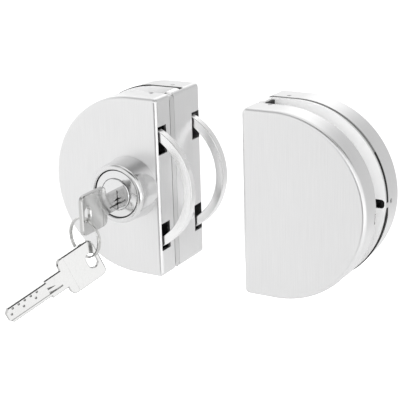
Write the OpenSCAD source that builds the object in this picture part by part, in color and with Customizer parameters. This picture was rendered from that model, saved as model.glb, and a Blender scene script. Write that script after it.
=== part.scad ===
// Glass door lock for a pair of frameless glass doors: a lock case on one leaf, a keeper on the other.
// Millimetres, +Z up. X runs across the doors, Y from the front (key side) to the rear.
// The origin is on the middle plane of the glass, at the lock case's flat side and at half its height.

/* [Case] */
// Height of each D-shaped case
case_h = 104; // [100:1:110]
// Width of each case, from its flat side to its round side
case_w = 70; // [68:1:74]
// Distance between the flat sides of the lock case and the keeper
leaf_gap = 52; // [30:1:80]
// Depth of the front covers
front_cover_d = 14.6; // [14.4:0.1:15]
// Depth of the rear covers
rear_cover_d = 16; // [16:0.1:17]
// Rounding of the covers' outer edges
edge_r = 2.2; // [1:0.1:2.5]
// Radius of the corners at the flat side
corner_r = 2.8; // [1.5:0.1:3]
// Thickness of the covers' side walls
wall = 1.5; // [1.2:0.1:1.6]
// Thickness of the covers' faces
face_t = 1.2; // [1:0.1:1.2]

/* [Glass] */
// Thickness of the glass leaf
glass_t = 8; // [8:1:10]
// Thickness of each glass pad
pad_t = 0.5; // [0.4:0.1:0.8]
// Distance of the pads and plates' inner zone from the round edge
pad_inset = 9; // [8:0.5:12]
// Thickness of the front base's plate, seen as a bright strip on the flat side
strip_t = 4.4; // [4:0.1:5]
// Thickness of the rear base's lip
lip_t = 1.4; // [1.2:0.1:1.6]
// Thickness of the black gasket behind the lip
gasket_t = 2.6; // [2:0.1:3]
// Thickness of the wall that bridges the two halves at the flat side
bridge_t = 3; // [2.5:0.1:3.5]
// Length of the bridge block in the notch of the glass
block_l = 32; // [30:1:34]
// Height of the bridge block in the notch of the glass
block_h = 38; // [36:1:42]
// Thickness of the rubber strips that the glass edge rests on
edge_strip_t = 1.5; // [1:0.1:2]

/* [Ring bolts] */
// Distance of the cylinder's axis from the flat side
axis_in = 19; // [18.8:0.1:19.2]
// Inner radius of the ring bolts
bolt_ri = 33; // [32.5:0.1:33.2]
// Outer radius of the ring bolts
bolt_ro = 38.2; // [37.8:0.1:38.4]
// Width of the ring bolts from front to rear
bolt_w = 5; // [4.6:0.1:5.2]
// Distance of each ring bolt from the front end of its slot
bolt_play = 1.3; // [1:0.1:1.5]
// Angle of the ring bolts' free end below the horizontal
bolt_low = 72; // [70:1:74]
// Angle of the ring bolts' carried end above the horizontal
bolt_high = 75; // [74:1:76]
// Width of the arms that carry the ring bolts
arm_w = 8; // [7:0.5:8]
// Height of the slots' inner ends above the middle
slot_low = 20; // [19:1:21]
// Height of the slots' outer ends above the middle
slot_high = 36; // [35.5:0.5:38]
// Width of the slots from front to rear
slot_w = 8.6; // [8.2:0.1:8.6]

/* [Cylinder] */
// Radius of the guard at its base
guard_r = 18; // [17.5:0.1:18.2]
// Radius of the guard at the start of its front rounding
guard_front_r = 17; // [16.6:0.1:17.2]
// Height of the guard in front of the cover
guard_h = 15.3; // [14:0.1:16]
// Radius of the cylinder's body
body_r = 13.3; // [13.2:0.1:13.4]
// Width of the dark groove between the guard and the cylinder
guard_gap = 0.6; // [0.5:0.1:1]
// Radius of the plug's front flange
plug_head_r = 9; // [8.8:0.1:9.2]
// Radius of the plug
plug_r = 8.2; // [8.1:0.1:8.3]
// Side of the square spindle
spindle_a = 8; // [8:0.1:8]
// Number of pins in the cylinder
pin_count = 5; // [4:1:5]

/* [Keys] */
// Thickness of the keys
key_t = 2.6; // [2.4:0.1:2.6]
// Length of the keys' bow
bow_l = 23.3; // [22:0.1:25]
// Height of the keys' bow
bow_h = 22.4; // [21:0.1:24]
// Length of the keys' shoulder in front of the plug
shoulder_l = 10; // [9:0.5:11]
// Height of the keys' shoulder
shoulder_h = 11.2; // [10.5:0.1:12]
// Length of the keys' blade
blade_l = 26; // [24:0.5:26]
// Height of the keys' blade
blade_h = 8.8; // [8.4:0.1:8.8]
// Height of the cylinder's axis above the middle of the keyway
key_drop = 3; // [2.8:0.1:3.1]
// Mean radius of the split key ring
ring_r = 10.9; // [10.5:0.1:11.2]
// Thickness of the key ring's wire, seen along its ring and across it
coil_t = 1.1; // [0.9:0.1:1.1]

/* [Hidden] */
$fn = 96;
steel = [0.78, 0.79, 0.8];
bright = [0.9, 0.91, 0.92];
chrome = [0.85, 0.86, 0.88];
nickel = [0.8, 0.79, 0.76];
black = [0.07, 0.07, 0.07];
brass = [0.8, 0.68, 0.35];
eps = 0.01;
fit = 0.05;
case_r = case_h / 2;
round_x = -(case_w - case_r);
front_y = -(glass_t / 2 + pad_t + strip_t + front_cover_d);
strip_y0 = front_y + front_cover_d;
strip_y1 = strip_y0 + strip_t;
lip_y0 = glass_t / 2 + pad_t;
lip_y1 = lip_y0 + lip_t;
rim_y = lip_y1 + gasket_t;
rear_y = rim_y + rear_cover_d;
front_slot_y = front_y + face_t;
rear_slot_y = rear_y - face_t - slot_w;
front_bolt_y = front_slot_y + bolt_play;
rear_bolt_y = rear_slot_y + bolt_play;
base_play = 0.2;
front_core_y = front_slot_y + slot_w + 0.6;
rear_core_y = rear_slot_y - 0.6;
gasket_w = 3.6;
gasket_inset = 0.4;
flange_x = -wall - fit;
block_x0 = flange_x - bridge_t - block_l;
guard_y = front_y - guard_h;
body_front_y = guard_y + 0.3;
body_rear_y = front_core_y - 0.6;
cup_r = 17;
cup_floor_y0 = front_core_y + 1.6;
cup_floor_y1 = strip_y0 - 0.8;
hub_r = 8;
bush_r = 10;
clip_t = 0.8;
plug_y = guard_y - 0.3;
plug_rear_y = cup_floor_y0 - 0.4;
spindle_y0 = plug_rear_y + 0.1;
spindle_y1 = rear_bolt_y + bolt_w - 0.2;
screw_r = 2;
screw_head_r = 3.8;
screw_xs = [-9, -31];
screw_z = 13;
grub_r = 1.25;
grub_in = 10.6;
front_grub_y = strip_y0 - 1.8;
rear_grub_y = rear_core_y - 1.4;
strip_drop = 1.2;
pale = [0.85, 0.86, 0.86];
window_x = -case_w + 0.7;
window_w = 6.3;
window_h = 4.8;
window_r = 1.8;
window_z = 0.15;
tab_t = 1;
tab_low = -2.3;
tab_high = 0.4;
hole_l = 5.4;
hole_h = 8.4;
hole_end = 5;
key_len = shoulder_l + bow_l;
pin_r = 1.2;
pin_pitch = 3.8;
ring_centre = [-axis_in - 1.85, front_y - 43.8, -16.2];
ring_turn = -11.5;
key_2_hole = [-axis_in + 1.6, front_y - 44.2, -28.4];
key_2_turn = [-25, 23, 140];
key_2_twist = -20;

// A flat shape in X and Z, thickened from y0 to y1
module slab(y0, y1) {
    translate([0, y1, 0]) rotate([90, 0, 0]) linear_extrude(y1 - y0) children();
}

// A round bar along Y about the cylinder's axis
module turned(y0, y1, r) {
    translate([-axis_in, 0, 0]) slab(y0, y1) circle(r);
}

// The D outline: a half circle with straight tangents to the flat side
module d_shape(inset = 0, flat = 0, corner = corner_r) {
    r = case_r - inset;
    intersection() {
        translate([round_x, 0]) circle(r, $fn = 192);
        translate([round_x - case_w, -case_h]) square([case_w, 2 * case_h]);
    }
    translate([round_x, -r]) square([-flat - corner - round_x, 2 * r]);
    translate([round_x, corner - r]) square([-flat - round_x, 2 * (r - corner)]);
    for (s = [-1, 1]) translate([-flat - corner, s * (r - corner)]) circle(corner, $fn = 32);
}

// Half of a plate's edge seen end on: the corner at (r, 0) is rounded
module rounded_edge(r, depth) {
    square([r - edge_r, depth]);
    translate([0, edge_r]) square([r, depth - edge_r]);
    translate([r - edge_r, edge_r]) circle(edge_r, $fn = 48);
}

// A solid D block from y = 0 back to y = depth, with its front edges rounded
module d_block(depth) {
    intersection() {
        union() {
            translate([round_x, 0, 0]) rotate([-90, 0, 0]) rotate_extrude($fn = 192)
                intersection() {
                    rounded_edge(case_r, depth);
                    square([case_r + 1, depth]);
                }
            translate([round_x, 0, 0]) rotate([90, 0, 90]) linear_extrude(-round_x)
                for (s = [0, 1]) mirror([s, 0]) rounded_edge(case_r, depth);
        }
        translate([0, 0, -case_r]) linear_extrude(case_h) translate([-case_w, 0])
            rounded_edge(case_w, depth);
        slab(-1, depth + 1) d_shape();
    }
}

// The two slots in a cover's flat side, through which a ring bolt passes
module slots(y0) {
    for (s = [0, 1]) mirror([0, 0, s])
        translate([-wall - 1, y0, slot_low]) cube([wall + 2, slot_w, slot_high - slot_low]);
}

// Places for a cover's grub screws: top and bottom, and the round side of a rear cover
module grub_places(rear) {
    for (s = [0, 1]) mirror([0, 0, s])
        translate([-grub_in, rear ? rear_grub_y : front_grub_y, case_r]) children();
    if (rear) translate([-case_w, rear_grub_y, 0]) rotate([0, -90, 0]) children();
}

module grub_holes(rear, depth) {
    grub_places(rear) translate([0, 0, -depth]) cylinder(h = depth + 1, r = grub_r + fit, $fn = 24);
}

module grub_screws() {
    color(steel) for (rear = [false, true]) grub_places(rear) translate([0, 0, -4.2]) difference() {
        cylinder(h = 3.8, r = grub_r, $fn = 24);
        translate([0, 0, 2.4]) cylinder(h = 2, r = 0.8, $fn = 6);
    }
}

// Front cover: a pressed D-shaped shell, open to the rear
module front_cover(cylinder_hole) {
    color(steel) difference() {
        translate([0, front_y, 0]) d_block(front_cover_d);
        slab(front_slot_y, strip_y0 + 1) d_shape(wall, wall, corner_r);
        slots(front_slot_y);
        grub_holes(false, wall + 1);
        // Release notch in the rim at the round side
        translate([-case_w - 1, strip_y0 - 1, -6.5]) cube([wall + 2, 2, 5.5]);
        if (cylinder_hole) turned(front_y - 1, front_y + face_t + 1, body_r + fit);
    }
}

// Front base: a core inside the cover, and a plate whose edge shows as the bright strip
module front_base(strike) {
    color(bright) difference() {
        union() {
            slab(strip_y0, strip_y1) {
                d_shape(wall + 0.5, 0.5);
                intersection() {
                    d_shape(strip_drop, 0);
                    translate([-4, -case_r]) square([4, case_h]);
                }
            }
            slab(front_core_y, strip_y0) d_shape(wall + base_play, wall + base_play);
            if (strike) strike_post(front_slot_y + 0.4, front_core_y);
        }
        if (!strike) turned(front_core_y - 1, strip_y0, cup_r + 0.6);
        if (!strike) turned(strip_y0 - 1, strip_y1 + 1, bush_r);
        screw_places() slab(strip_y0 - 1, strip_y1 + 1) circle(screw_r);
        grub_holes(false, 4.3);
    }
}

// The post behind a keeper's flat side that the ring bolt hooks behind
module strike_post(y0, y1) {
    post_h = slot_low - 4;
    post_t = 4.5;
    translate([-wall - post_t, y0, -post_h]) cube([post_t, y1 - y0 + eps, 2 * post_h]);
}

module screw_places() {
    for (x = screw_xs, s = [-1, 1]) translate([x, 0, s * screw_z]) children();
}

// Rear base: a lip flush with the outline, a neck inside the gasket and a core inside the cover
module rear_base(strike) {
    color(bright) difference() {
        union() {
            slab(lip_y0, lip_y1) d_shape(0, wall + fit);
            slab(lip_y1 - eps, rim_y + eps) d_shape(gasket_w + 0.5, wall + gasket_w + 0.5);
            slab(rim_y, rear_core_y) d_shape(wall + base_play, wall + base_play);
            if (strike) strike_post(rear_core_y - eps, rear_y - face_t - 0.4);
        }
        if (!strike) turned(lip_y0 - 1, rear_core_y + 1, bush_r);
        screw_places() slab(lip_y0 - 1, rear_core_y + 1) circle(screw_r + fit);
        screw_places() translate([0, rear_core_y, 0]) rotate([90, 0, 0]) {
            cylinder(h = 2.2, r1 = screw_head_r + 0.1, r2 = screw_r + fit);
            translate([0, 0, -1]) cylinder(h = 1 + eps, r = screw_head_r + 0.1);
        }
        grub_holes(true, 4.3);
        window();
    }
}

// The window in the rear base by the round side, in front of the grub screw
module window() {
    r = window_r;
    slab(lip_y0 - 1, rim_y + 1) translate([window_x, window_z - window_h / 2]) {
        translate([r, 0]) square([window_w - 2 * r, window_h]);
        translate([0, r]) square([window_w, window_h - 2 * r]);
        for (x = [r, window_w - r], z = [r, window_h - r]) translate([x, z]) circle(r, $fn = 32);
    }
}

// The tab of the rear cover that fits a gap in the gasket beside the window
module tab(play) {
    slab(lip_y1 + fit - play, rim_y + 1) intersection() {
        d_shape(fit - play);
        translate([-case_w, tab_low - play]) square([tab_t + play, tab_high - tab_low + 2 * play]);
    }
}

module gasket() {
    color(black) difference() {
        slab(lip_y1, rim_y) difference() {
            d_shape(gasket_inset, wall + fit);
            d_shape(gasket_w, wall + gasket_w);
        }
        tab(2 * fit);
    }
}

// Rear cover: a pressed shell open to the front, with a flange over the bridge at the flat side
module rear_cover() {
    color(steel) difference() {
        union() {
            translate([0, rear_y, 0]) mirror([0, 1, 0]) d_block(rear_cover_d);
            slab(strip_y1 + fit, rim_y + 1) intersection() {
                d_shape();
                translate([-wall, -case_r]) square([wall, case_h]);
            }
            tab(0);
        }
        slab(rim_y - 1, rear_y - face_t) intersection() {
            d_shape(wall, wall, corner_r);
            translate([-case_w, -case_r]) square([case_w - wall, case_h]);
        }
        slots(rear_slot_y);
        grub_holes(true, wall + 1);
    }
}

// Bridge: the wall behind the flat side and the block that fills the notch in the glass
module bridge(bore) {
    color(steel) difference() {
        slab(strip_y1, lip_y0) {
            intersection() {
                d_shape(0, wall + fit, 0.5);
                translate([flange_x - bridge_t, -case_r]) square([bridge_t, case_h]);
            }
            translate([block_x0, -block_h / 2]) square([block_l + eps, block_h]);
        }
        screw_places() slab(strip_y1 - 1, lip_y0 + 1) circle(screw_r + fit);
        if (bore) turned(strip_y1 - 1, lip_y0 + 1, spindle_a * 0.8);
    }
}

// Rubber strips that line the bridge wall above and below the block
module edge_strips() {
    strip_x = flange_x - bridge_t - edge_strip_t;
    color(black) slab(strip_y1 + fit, lip_y0 - fit) for (s = [0, 1]) mirror([0, s])
        translate([strip_x, block_h / 2]) square([edge_strip_t, case_r - block_h / 2 - 1]);
}

// Glass pad: a sheet kept back from the round edge and from the notch
module pad(y0) {
    color(pale) slab(y0, y0 + pad_t) difference() {
        d_shape(pad_inset, -flange_x + bridge_t + edge_strip_t + 0.5, 2);
        translate([block_x0 - 1, -block_h / 2 - 1]) square([case_w, block_h + 2]);
    }
}

// Four long countersunk screws from the rear base through the bridge into the front base
module clamp_screws() {
    color(steel) screw_places() translate([0, rear_core_y - 0.1, 0]) rotate([90, 0, 0]) difference() {
        union() {
            cylinder(h = 2.1, r1 = screw_head_r, r2 = screw_r - 0.02);
            cylinder(h = rear_core_y - strip_y0 - 0.3, r = screw_r - 0.02);
        }
        translate([0, 0, -eps]) cylinder(h = 1.4, r = 1.4, $fn = 6);
    }
}

// Guard: a tapered cup with a rounded front edge, screwed over the cylinder's body
module cylinder_guard() {
    mouth_r = body_r + guard_gap;
    edge = guard_front_r - mouth_r - 0.2;
    color(steel) translate([-axis_in, guard_y, 0]) rotate([-90, 0, 0]) rotate_extrude() difference() {
        union() {
            polygon([[mouth_r - 2, edge], [guard_front_r - 0.1, edge], [guard_r, guard_h],
                [mouth_r - 2, guard_h]]);
            intersection() {
                translate([guard_front_r - edge, edge]) circle(edge, $fn = 64);
                translate([mouth_r - 2, 0]) square([guard_r, guard_h]);
            }
            translate([mouth_r - 2, 0]) square([guard_front_r - edge - mouth_r + 2, edge + 1]);
        }
        translate([0, -1]) square([mouth_r, guard_h - 2]);
        square([body_r + fit, guard_h + 1]);
    }
}

// The keyway, open at the plug's front
module keyway(y0, y1, play) {
    translate([-axis_in - key_t / 2 - play, y0, -key_drop - blade_h / 2 - play])
        cube([key_t + 2 * play, y1 - y0, blade_h + 2 * play]);
}

function pin_y(i) = plug_y + 6 + i * pin_pitch;

// One pin chamber along X at the height of the axis
module pin_bar(i, r0, r1, r) {
    translate([-axis_in - r1, pin_y(i), 0]) rotate([0, 90, 0]) cylinder(h = r1 - r0, r = r, $fn = 24);
}

// Body: a chromed barrel with a stepped face and a flange behind the cover
module cylinder_body() {
    head_l = 2.2;
    color(chrome) difference() {
        union() {
            turned(body_front_y + 0.6, body_rear_y, body_r);
            translate([-axis_in, body_front_y, 0]) rotate([-90, 0, 0])
                cylinder(h = 0.6 + eps, r1 = body_r - 0.6, r2 = body_r);
            turned(front_y + face_t + fit, front_y + face_t + 1, body_r + 2.4);
        }
        turned(body_front_y - 1, body_front_y + head_l, plug_head_r + fit);
        turned(body_front_y, body_rear_y + 1, plug_r + fit);
        // Groove that parts the bright outer ring from the inner ring of the face
        translate([-axis_in, 0, 0]) slab(body_front_y - 1, body_front_y + 0.35) difference() {
            circle(11.2);
            circle(10.7);
        }
        for (i = [0 : pin_count - 1]) pin_bar(i, plug_r - 1, body_r - 0.5, pin_r + fit);
    }
}

// Plug: the part that the key turns, with a tongue at its rear for the spindle
module cylinder_plug() {
    color(chrome) difference() {
        union() {
            turned(plug_y + 0.4, body_front_y + 2, plug_head_r);
            translate([-axis_in, plug_y, 0]) rotate([-90, 0, 0])
                cylinder(h = 0.4 + eps, r1 = plug_head_r - 0.4, r2 = plug_head_r);
            turned(plug_y + 1, plug_rear_y, plug_r);
            translate([-axis_in - 1.2, plug_rear_y - eps, -3.5]) cube([2.4, 2.4, 7]);
        }
        keyway(plug_y - 1, plug_y + blade_l + 0.4, fit);
        // Funnel at the mouth of the keyway
        translate([-axis_in, plug_y, -key_drop]) rotate([0, 45, 0]) translate([-1.6, -1, -1.6])
            cube([3.2, 1.5, 3.2]);
        translate([-axis_in, 0, 0]) slab(body_rear_y + 0.1, body_rear_y + 0.2 + clip_t) difference() {
            circle(plug_r + 1);
            circle(plug_r - 0.9);
        }
        for (i = [0 : pin_count - 1]) pin_bar(i, 0.5, plug_r + 1, pin_r + fit);
    }
}

module key_pins() {
    color(brass) for (i = [0 : pin_count - 1]) pin_bar(i, key_t / 2 + 0.1, plug_r - 0.1, pin_r);
}

module driver_pins() {
    color(steel) for (i = [0 : pin_count - 1]) pin_bar(i, plug_r + fit, plug_r + 2.2, pin_r);
}

// Pin springs pressed almost solid: five turns that touch
module pin_springs() {
    wire_r = 0.25;
    turns = 5;
    color(steel) for (i = [0 : pin_count - 1])
        translate([-axis_in - plug_r - 2.25 - wire_r, pin_y(i), 0]) rotate([0, -90, 0])
            rotate_extrude($fn = 32) for (k = [0 : turns - 1])
                translate([pin_r - 2 * wire_r, k * 1.8 * wire_r]) circle(wire_r, $fn = 16);
}

// Spring clip in the plug's rear groove
module plug_clip() {
    color(steel) translate([-axis_in, 0, 0]) slab(body_rear_y + 0.15, body_rear_y + 0.15 + clip_t)
        difference() {
            circle(plug_r + 1.6);
            circle(plug_r - 0.8);
            translate([0, -2.5]) square([20, 5]);
        }
}

// Square spindle that carries the plug's turn to both ring bolts
module spindle() {
    color(steel) difference() {
        translate([-axis_in, 0, 0]) slab(spindle_y0, spindle_y1) square(spindle_a, center = true);
        translate([-axis_in - 1.25, spindle_y0 - 1, -5]) cube([2.5, 3.6, 10]);
        turned(spindle_y1 - 11, spindle_y1 + 1, screw_r);
    }
}

module spindle_screw() {
    head_y = rear_bolt_y + bolt_w;
    color(steel) difference() {
        union() {
            turned(head_y, head_y + 1.4, 6.5);
            turned(spindle_y1 - 10, head_y + eps, screw_r - 0.02);
        }
        translate([-axis_in, 0, 0]) slab(head_y + 0.6, head_y + 2) square([1, 14], center = true);
    }
}

module bush(y0, y1) {
    color(brass) difference() {
        turned(y0, y1, bush_r - 0.01);
        turned(y0 - 1, y1 + 1, hub_r + fit);
    }
}

// The C of a ring bolt with its arm, from y0 back to y0 + bolt_w
module ring_and_arm(y0, arm_from) {
    chamfer = 0.5;
    arm_a = bolt_high - 4;
    translate([-axis_in, y0 + bolt_w, 0]) rotate([90, 0, 0]) {
        rotate([0, 0, -bolt_low]) rotate_extrude(angle = bolt_low + bolt_high, $fn = 192) polygon([
            [bolt_ri + chamfer, 0], [bolt_ro - chamfer, 0], [bolt_ro, chamfer],
            [bolt_ro, bolt_w - chamfer], [bolt_ro - chamfer, bolt_w], [bolt_ri + chamfer, bolt_w],
            [bolt_ri, bolt_w - chamfer], [bolt_ri, chamfer]]);
        rotate([0, 0, arm_a]) translate([arm_from, -arm_w / 2, 0])
            cube([(bolt_ri + bolt_ro) / 2 - arm_from, arm_w, bolt_w]);
    }
}

module spindle_hole() {
    translate([-axis_in, 0, 0]) slab(front_y, rear_y) square(spindle_a + 2 * fit, center = true);
}

// Front ring bolt: the ring turns around the cylinder on a cup that the spindle drives
module front_ring_bolt() {
    cup_in = body_r + 0.4;
    cup_y = front_y + face_t + 1.3;
    color(bright) difference() {
        union() {
            ring_and_arm(front_bolt_y, cup_in + 1);
            turned(cup_y, cup_floor_y1, cup_r);
            turned(cup_floor_y1 - eps, strip_y1 - 0.5, hub_r);
        }
        turned(cup_y - 1, cup_floor_y0, cup_in);
        spindle_hole();
    }
}

// Rear ring bolt: the same ring on a plain hub
module rear_ring_bolt() {
    color(bright) difference() {
        union() {
            ring_and_arm(rear_bolt_y, 8);
            turned(rear_bolt_y, rear_bolt_y + bolt_w, 12);
            turned(lip_y1, rear_bolt_y + eps, hub_r);
        }
        spindle_hole();
    }
}

// A conical dimple in the blade's flat side
module dimple(y, z) {
    translate([key_t / 2 - 0.6, y, z]) rotate([0, 90, 0]) cylinder(h = 1, r1 = 0.5, r2 = 1.1, $fn = 24);
}

// Key, seen from its side: the blade points along +Y from the stop at y = 0
module key_blank() {
    bow_y = -shoulder_l - bow_l;
    bow_r = 3.6;
    tip = 2.2;
    difference() {
        translate([-key_t / 2, 0, 0]) rotate([90, 0, 90]) linear_extrude(key_t) {
            translate([-shoulder_l - eps, -shoulder_h / 2]) square([shoulder_l + eps, shoulder_h]);
            polygon([[-1, -blade_h / 2], [blade_l - tip, -blade_h / 2], [blade_l, -blade_h / 2 + tip],
                [blade_l, blade_h / 2 - tip], [blade_l - tip, blade_h / 2], [-1, blade_h / 2]]);
            translate([bow_y + bow_r, -bow_h / 2]) square([bow_l - 2 * bow_r, bow_h]);
            translate([bow_y, bow_r - bow_h / 2]) square([bow_l, bow_h - 2 * bow_r]);
            for (y = [bow_y + bow_r, bow_y + bow_l - bow_r], s = [-1, 1])
                translate([y, s * (bow_h / 2 - bow_r)]) circle(bow_r, $fn = 32);
        }
        // Hole for the key ring
        translate([-key_t, bow_y + hole_end, 0]) rotate([90, 0, 90]) linear_extrude(2 * key_t) {
            square([hole_l, hole_h - hole_l], center = true);
            for (s = [-1, 1]) translate([0, s * (hole_h - hole_l) / 2]) circle(hole_l / 2, $fn = 32);
        }
        for (s = [0, 1]) mirror([s, 0, 0]) {
            // Fine line across the bow
            translate([key_t / 2 - 0.25, -shoulder_l - 5.2, -bow_h]) cube([1, 0.9, 2 * bow_h]);
            // Milled track along the blade
            translate([key_t / 2 - 0.5, -shoulder_l + 2, -blade_h / 2 + 1.6])
                cube([1, shoulder_l + blade_l, 1]);
            for (i = [0 : pin_count - 1]) dimple(6 + i * pin_pitch, key_drop);
            for (i = [0 : 2]) dimple(6 + (2 * i + 0.5) * pin_pitch, 0.4);
        }
    }
}

module key_1() {
    color(nickel) translate([-axis_in, plug_y, -key_drop]) key_blank();
}

// The second key hangs on the key ring with its face to the front right
module key_2() {
    color(nickel) translate(key_2_hole) rotate(key_2_turn) rotate([0, key_2_twist, 0])
        translate([0, key_len - hole_end, 0]) key_blank();
}

// Split ring: two touching coils, with the outer coil's end cut square
module key_ring() {
    color(nickel) translate(ring_centre) rotate([0, 0, ring_turn]) rotate([90, 0, 0]) difference() {
        rotate_extrude() translate([ring_r - coil_t / 2, -coil_t]) square([coil_t, 2 * coil_t]);
        rotate([0, 0, 50]) translate([ring_r, 0, coil_t]) cube([4, 0.5, coil_t * 1.6], center = true);
    }
}

// Everything of the keeper is drawn as for the lock case, then mirrored to the other leaf
module on_keeper() {
    translate([leaf_gap, 0, 0]) mirror([1, 0, 0]) children();
}

module lock_front_cover() { front_cover(true); }
module lock_front_base() { front_base(false); }
module lock_front_pad() { pad(strip_y1); }
module lock_bridge() { bridge(true); }
module lock_edge_strips() { edge_strips(); }
module lock_rear_pad() { pad(lip_y0 - pad_t); }
module lock_rear_base() { rear_base(false); }
module lock_gasket() { gasket(); }
module lock_rear_cover() { rear_cover(); }
module lock_clamp_screws() { clamp_screws(); }
module lock_grub_screws() { grub_screws(); }
module front_bush() { bush(strip_y0 + 0.2, strip_y1); }
module rear_bush() { bush(lip_y0 + 0.2, rear_core_y); }
module keeper_front_cover() { on_keeper() front_cover(false); }
module keeper_front_base() { on_keeper() front_base(true); }
module keeper_front_pad() { on_keeper() pad(strip_y1); }
module keeper_bridge() { on_keeper() bridge(false); }
module keeper_edge_strips() { on_keeper() edge_strips(); }
module keeper_rear_pad() { on_keeper() pad(lip_y0 - pad_t); }
module keeper_rear_base() { on_keeper() rear_base(true); }
module keeper_gasket() { on_keeper() gasket(); }
module keeper_rear_cover() { on_keeper() rear_cover(); }
module keeper_clamp_screws() { on_keeper() clamp_screws(); }
module keeper_grub_screws() { on_keeper() grub_screws(); }

lock_front_cover();
lock_front_base();
lock_front_pad();
lock_bridge();
lock_edge_strips();
lock_rear_pad();
lock_rear_base();
lock_gasket();
lock_rear_cover();
lock_clamp_screws();
lock_grub_screws();
cylinder_guard();
cylinder_body();
cylinder_plug();
key_pins();
driver_pins();
pin_springs();
plug_clip();
spindle();
spindle_screw();
front_bush();
rear_bush();
front_ring_bolt();
rear_ring_bolt();
key_1();
key_ring();
key_2();
keeper_front_cover();
keeper_front_base();
keeper_front_pad();
keeper_bridge();
keeper_edge_strips();
keeper_rear_pad();
keeper_rear_base();
keeper_gasket();
keeper_rear_cover();
keeper_clamp_screws();
keeper_grub_screws();
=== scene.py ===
import math
import bmesh
import bpy
from mathutils import Euler, Matrix, Vector


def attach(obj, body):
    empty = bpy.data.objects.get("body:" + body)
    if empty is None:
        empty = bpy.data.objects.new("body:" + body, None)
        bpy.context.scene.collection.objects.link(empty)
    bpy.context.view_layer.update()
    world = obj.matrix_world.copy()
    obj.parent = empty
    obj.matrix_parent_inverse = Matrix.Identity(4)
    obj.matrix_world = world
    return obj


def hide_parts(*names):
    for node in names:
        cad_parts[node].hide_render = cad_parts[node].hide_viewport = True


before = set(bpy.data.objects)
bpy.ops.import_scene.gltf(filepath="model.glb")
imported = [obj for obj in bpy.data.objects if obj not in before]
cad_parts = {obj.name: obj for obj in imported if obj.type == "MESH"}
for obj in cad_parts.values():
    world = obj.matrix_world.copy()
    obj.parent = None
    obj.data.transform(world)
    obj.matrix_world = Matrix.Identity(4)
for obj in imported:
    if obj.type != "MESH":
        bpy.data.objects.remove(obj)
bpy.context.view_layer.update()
print("frame:", len(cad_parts), "nodes")

mm = 0.001
past = 1.0  # how far a cutter reaches beyond the surface that it cuts, in millimetres
mergeWithin = 0.0004  # points nearer than this are one, in millimetres
rad = math.radians

# Sizes that several pieces share, in millimetres, and places along Y from the front to the rear
lockCase = {
    "height": 104.0, "width": 70.0, "corner": 2.8, "gap": 52.0, "axis": -19.0,
    "frontFace": -23.5, "strip": -8.9, "stripEnd": -4.5, "lipEnd": 5.9, "rim": 8.5, "rearFace": 24.5,
}
halfHeight = lockCase["height"] / 2
roundX = halfHeight - lockCase["width"]  # the centre line of the round side


# Meshes: plain forms are lists of points and faces in millimetres
def newObject(name, data):
    obj = bpy.data.objects.new(name, data)
    bpy.context.scene.collection.objects.link(obj)
    return obj


def makePiece(name, points, faces):
    mesh = bpy.data.meshes.new(name)
    mesh.from_pydata([Vector(p) * mm for p in points], [], faces)
    obj = newObject(name, mesh)
    cleanMesh(obj)
    return obj


def cleanMesh(obj):
    bm = bmesh.new()
    bm.from_mesh(obj.data)
    bmesh.ops.remove_doubles(bm, verts=bm.verts, dist=mergeWithin * mm)
    bmesh.ops.dissolve_degenerate(bm, edges=bm.edges, dist=mergeWithin * mm)
    bmesh.ops.recalc_face_normals(bm, faces=bm.faces)
    bm.to_mesh(obj.data)
    bm.free()


def joined(parts):
    points, faces = [], []
    for partPoints, partFaces in parts:
        start = len(points)
        points += [tuple(p) for p in partPoints]
        faces += [[i + start for i in f] for f in partFaces]
    return points, faces


def block(low, high):
    xs, ys, zs = zip(low, high)
    points = [(x, y, z) for x in xs for y in ys for z in zs]
    faces = [(0, 1, 3, 2), (4, 6, 7, 5), (0, 4, 5, 1), (2, 3, 7, 6), (0, 2, 6, 4), (1, 5, 7, 3)]
    return points, faces


def rod(start, end, radius, endRadius=None, steps=32):
    a, b = Vector(start), Vector(end)
    side = (b - a).orthogonal().normalized()
    other = (b - a).cross(side).normalized()
    rings = []
    for centre, r in ((a, radius), (b, radius if endRadius is None else endRadius)):
        rings.append([centre + r * (math.cos(t) * side + math.sin(t) * other)
                      for t in (2 * math.pi * i / steps for i in range(steps))])
    return loft(rings)


def loft(rings, closed=False):
    # rings of points joined in turn, with flat ends or closed to a ring
    n = len(rings[0])
    points = [p for ring in rings for p in ring]
    last = len(rings) if closed else len(rings) - 1
    faces = []
    for k in range(last):
        a, b = k * n, ((k + 1) % len(rings)) * n
        faces += [(a + i, a + (i + 1) % n, b + (i + 1) % n, b + i) for i in range(n)]
    if not closed:
        faces += [list(range(n))[::-1], list(range((len(rings) - 1) * n, len(rings) * n))]
    return points, faces


def turnedForm(profile, steps=128, closed=True):
    # a profile of (radius, y) turned about the cylinder's axis
    rings = []
    for i in range(steps):
        c, s = math.cos(2 * math.pi * i / steps), math.sin(2 * math.pi * i / steps)
        rings.append([(lockCase["axis"] + r * c, y, r * s) for r, y in profile])
    n = len(profile)
    points = [p for ring in rings for p in ring]
    faces = []
    for k in range(steps):
        a, b = k * n, ((k + 1) % steps) * n
        faces += [(a + i, a + (i + 1) % n, b + (i + 1) % n, b + i) for i in range(n if closed else n - 1)]
    if not closed:
        faces += [[k * n for k in range(steps)], [k * n + n - 1 for k in range(steps)]]
    return points, faces


def bakeModifiers(obj):
    # the object's modifiers become its plain mesh
    graph = bpy.context.evaluated_depsgraph_get()
    mesh = bpy.data.meshes.new_from_object(obj.evaluated_get(graph))
    obj.modifiers.clear()
    old, obj.data = obj.data, mesh
    bpy.data.meshes.remove(old)
    mesh.name = obj.name


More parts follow.
